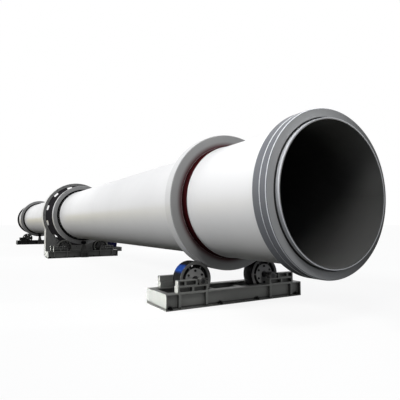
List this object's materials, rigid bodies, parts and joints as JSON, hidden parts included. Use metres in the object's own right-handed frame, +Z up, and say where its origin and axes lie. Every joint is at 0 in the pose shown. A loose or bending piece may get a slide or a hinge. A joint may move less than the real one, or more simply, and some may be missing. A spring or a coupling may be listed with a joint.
{
  "type": "rotary kiln",
  "caption": "Long white rotary kiln tube on riding rings and ribbed support rollers, turned by a guarded girth gear, pinion, reducer and motor.",
  "frame": {"origin": "on the ground under the kiln axis at the middle tyre, the fixed point of the kiln", "axes": "+X along the kiln axis to the discharge mouth, +Z up"},
  "size_m": [36.97, 5.1001, 4.0402],
  "materials": {
    "shell_paint": "gloss",
    "ring_steel": "machined",
    "roller_steel": "machined",
    "dark_steel": "satin",
    "gear_steel": "machined",
    "pad_red": "satin",
    "base_paint": "satin",
    "bearing_paint": "satin",
    "guard_paint": "satin",
    "motor_paint": "satin"
  },
  "bodies": {
    "plant": {"near_base": "base_paint", "near_pedestals": "base_paint", "near_bearings": "bearing_paint", "mid_base": "base_paint", "mid_pedestals": "base_paint", "mid_bearings": "bearing_paint", "far_base": "base_paint", "far_pedestals": "base_paint", "far_bearings": "bearing_paint", "guard_front": "guard_paint", "guard_back": "guard_paint", "guard_cover": "guard_paint", "pinion_stands": "base_paint", "drive_plinth": "base_paint", "reducer": "base_paint", "motor": "motor_paint", "motor_coupling": "dark_steel", "thrust_bracket": "base_paint"},
    "kiln": {"shell": "shell_paint", "nose_ring_front": "ring_steel", "nose_ring_rear": "ring_steel", "feed_ring": "dark_steel", "near_tyre": "ring_steel", "mid_tyre": "ring_steel", "far_tyre": "ring_steel", "near_pads": "pad_red", "mid_pads": "dark_steel", "far_pads": "dark_steel", "gear_rim": "gear_steel", "gear_web": "dark_steel"},
    "near_left_support": {"near_left_roller": "roller_steel", "near_left_shaft": "roller_steel"},
    "near_right_support": {"near_right_roller": "roller_steel", "near_right_shaft": "roller_steel"},
    "mid_left_support": {"mid_left_roller": "roller_steel", "mid_left_shaft": "roller_steel"},
    "mid_right_support": {"mid_right_roller": "roller_steel", "mid_right_shaft": "roller_steel"},
    "far_left_support": {"far_left_roller": "roller_steel", "far_left_shaft": "roller_steel"},
    "far_right_support": {"far_right_roller": "roller_steel", "far_right_shaft": "roller_steel"},
    "pinion_drive": {"pinion": "gear_steel", "pinion_shaft": "gear_steel"},
    "thrust_wheel": {"thrust_roller": "ring_steel"}
  },
  "joints": [
    {"name": "kiln_spin", "type": "hinge", "parent": "plant", "child": "kiln", "pos_m": [0, 0, 2.22016], "axis": [1, 0, 0], "continuous": true},
    {"name": "near_left_spin", "type": "hinge", "parent": "plant", "child": "near_left_support", "pos_m": [13.75, -0.9496, 0.528], "axis": [1, 0, 0], "continuous": true},
    {"name": "near_right_spin", "type": "hinge", "parent": "plant", "child": "near_right_support", "pos_m": [13.75, 0.9496, 0.528], "axis": [1, 0, 0], "continuous": true},
    {"name": "mid_left_spin", "type": "hinge", "parent": "plant", "child": "mid_left_support", "pos_m": [0, -0.9496, 0.528], "axis": [1, 0, 0], "continuous": true},
    {"name": "mid_right_spin", "type": "hinge", "parent": "plant", "child": "mid_right_support", "pos_m": [0, 0.9496, 0.528], "axis": [1, 0, 0], "continuous": true},
    {"name": "far_left_spin", "type": "hinge", "parent": "plant", "child": "far_left_support", "pos_m": [-15.55, -0.9496, 0.528], "axis": [1, 0, 0], "continuous": true},
    {"name": "far_right_spin", "type": "hinge", "parent": "plant", "child": "far_right_support", "pos_m": [-15.55, 0.9496, 0.528], "axis": [1, 0, 0], "continuous": true},
    {"name": "pinion_spin", "type": "hinge", "parent": "plant", "child": "pinion_drive", "pos_m": [-1.615, 1.15415, 0.5715], "axis": [1, 0, 0], "continuous": true},
    {"name": "thrust_spin", "type": "hinge", "parent": "plant", "child": "thrust_wheel", "pos_m": [0.2654, 0, 0.69016], "axis": [0, 0, 1], "continuous": true}
  ],
  "couplings": [
    {"joint": "near_left_spin", "follows": "kiln_spin", "ratio": -4.039},
    {"joint": "near_right_spin", "follows": "kiln_spin", "ratio": -4.039},
    {"joint": "mid_left_spin", "follows": "kiln_spin", "ratio": -4.039},
    {"joint": "mid_right_spin", "follows": "kiln_spin", "ratio": -4.039},
    {"joint": "far_left_spin", "follows": "kiln_spin", "ratio": -4.039},
    {"joint": "far_right_spin", "follows": "kiln_spin", "ratio": -4.039},
    {"joint": "pinion_spin", "follows": "kiln_spin", "ratio": -6.6667},
    {"joint": "thrust_spin", "follows": "kiln_spin", "ratio": -11.231}
  ]
}
